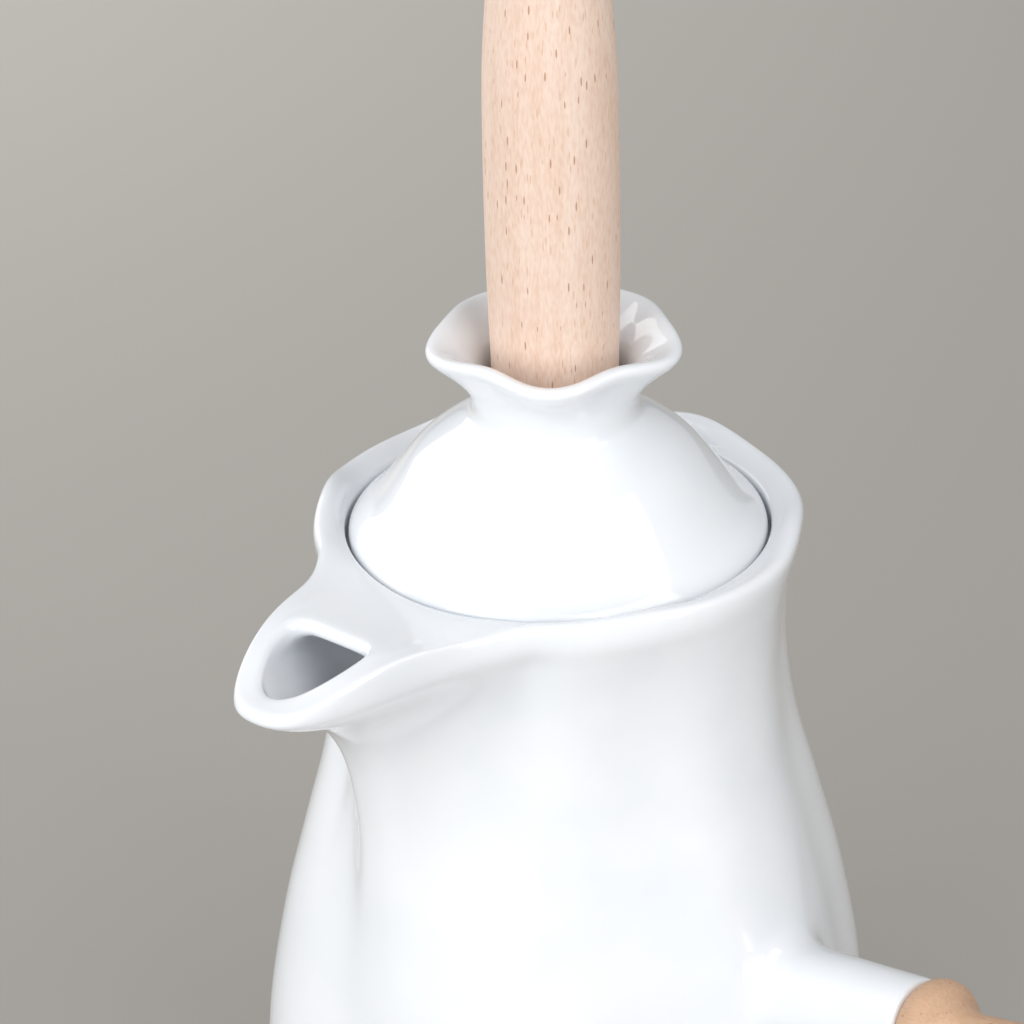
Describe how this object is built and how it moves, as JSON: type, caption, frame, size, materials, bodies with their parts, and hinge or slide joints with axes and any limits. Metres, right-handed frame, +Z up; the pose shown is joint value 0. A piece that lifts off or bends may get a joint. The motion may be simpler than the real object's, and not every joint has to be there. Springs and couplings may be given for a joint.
{
  "type": "chocolate pot",
  "caption": "Six-lobed porcelain chocolate pot with a covered beak spout, drop-in lid with a waved collar, stirrer through the lid and a turned wooden side handle.",
  "frame": {"origin": "centre of the foot ring, on the surface the pot stands on", "axes": "+Z up along the pot's axis; +X along the side handle as seen from above; -Y towards the spout"},
  "size_m": [0.2668, 0.1513, 0.326],
  "materials": {
    "porcelain_pot": "white glazed porcelain, high gloss",
    "porcelain_lid": "white glazed porcelain, high gloss",
    "beech_handle": "turned beech, smooth, lightly oiled",
    "resin_cement": "cured resin cement, matte",
    "beech_grip": "turned beech, sanded, bare",
    "beech_shaft": "beech dowel, sanded, bare",
    "beech_head": "turned and grooved beech, bare",
    "beech_pin": "beech dowel pin, bare"
  },
  "bodies": {
    "pot": {"pot_body": "porcelain_pot", "side_handle": "beech_handle", "handle_cement": "resin_cement"},
    "lid": {"lid": "porcelain_lid"},
    "stirrer": {"stirrer_grip": "beech_grip", "stirrer_shaft": "beech_shaft", "stirrer_head": "beech_head", "stirrer_head_pin": "beech_pin"}
  },
  "joints": [
    {"name": "lid_lift", "type": "slide", "parent": "pot", "child": "lid", "axis": [0, 0, 1], "range_m": [0, 0.18]},
    {"name": "stirrer_spin", "type": "hinge", "parent": "lid", "child": "stirrer", "pos_m": [0, 0, 0.2], "axis": [0, 0, 1], "continuous": true}
  ]
}
